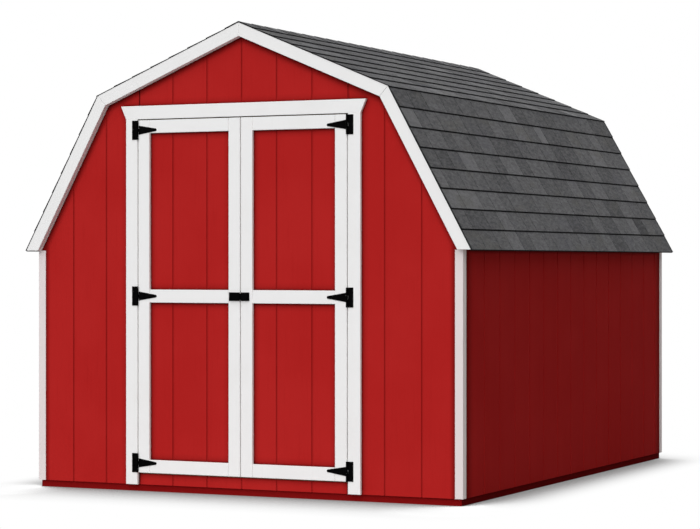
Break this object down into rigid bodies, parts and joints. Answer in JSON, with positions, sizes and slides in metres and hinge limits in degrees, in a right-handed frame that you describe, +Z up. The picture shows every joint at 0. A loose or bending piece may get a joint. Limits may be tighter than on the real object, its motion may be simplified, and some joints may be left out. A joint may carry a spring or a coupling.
{
  "type": "gambrel barn shed",
  "caption": "Small hollow timber barn with a gambrel shingle roof, grooved red siding, white trim and two hinged doors in the gable end.",
  "frame": {"origin": "on the ground at the middle of the barn's footprint", "axes": "+X towards the right seen from the doors, +Y from the doors to the rear, +Z up"},
  "size_m": [2.597, 3.124, 2.433],
  "materials": {
    "red_siding": "painted, satin",
    "white_trim": "painted, satin",
    "shingle": "mineral granules, rough",
    "lumber": "bare sawn softwood",
    "floor_wood": "bare plywood",
    "sheet_wood": "bare sheathing board",
    "black_metal": "black powder coat"
  },
  "bodies": {
    "barn": {"floor_rims": "lumber", "floor_joists": "lumber", "floor_deck": "floor_wood", "wall_plates": "lumber", "side_studs": "lumber", "gable_studs": "lumber", "door_lintel": "lumber", "rafters_left": "lumber", "rafters_right": "lumber", "rafter_gussets": "sheet_wood", "front_wall_left": "red_siding", "front_wall_right": "red_siding", "front_gable": "red_siding", "door_sill": "red_siding", "rear_wall": "red_siding", "side_wall_left": "red_siding", "side_wall_right": "red_siding", "roof_deck_left_upper": "sheet_wood", "roof_deck_left_lower": "sheet_wood", "roof_deck_right_upper": "sheet_wood", "roof_deck_right_lower": "sheet_wood", "shingles_left_upper": "shingle", "shingles_left_lower": "shingle", "shingles_right_upper": "shingle", "shingles_right_lower": "shingle", "ridge_cap": "shingle", "rake_trim_front_left": "white_trim", "rake_trim_front_right": "white_trim", "rake_trim_rear_left": "white_trim", "rake_trim_rear_right": "white_trim", "corner_trim_front": "white_trim", "corner_trim_rear": "white_trim", "door_posts": "white_trim", "door_header": "white_trim", "hinge_plates": "black_metal"},
    "left_door": {"door_panel_left": "red_siding", "door_trim_left": "white_trim", "door_brace_left": "lumber", "hinge_straps_left": "black_metal", "door_latch_left": "black_metal"},
    "right_door": {"door_panel_right": "red_siding", "door_trim_right": "white_trim", "door_brace_right": "lumber", "hinge_straps_right": "black_metal", "door_latch_right": "black_metal"}
  },
  "joints": [
    {"name": "left_door_hinge", "type": "hinge", "parent": "barn", "child": "left_door", "pos_m": [-0.6114, -1.5455, 1.0225], "axis": [0, 0, -1], "range_deg": [0, 170]},
    {"name": "right_door_hinge", "type": "hinge", "parent": "barn", "child": "right_door", "pos_m": [0.6114, -1.5455, 1.0225], "axis": [0, 0, 1], "range_deg": [0, 170]}
  ]
}
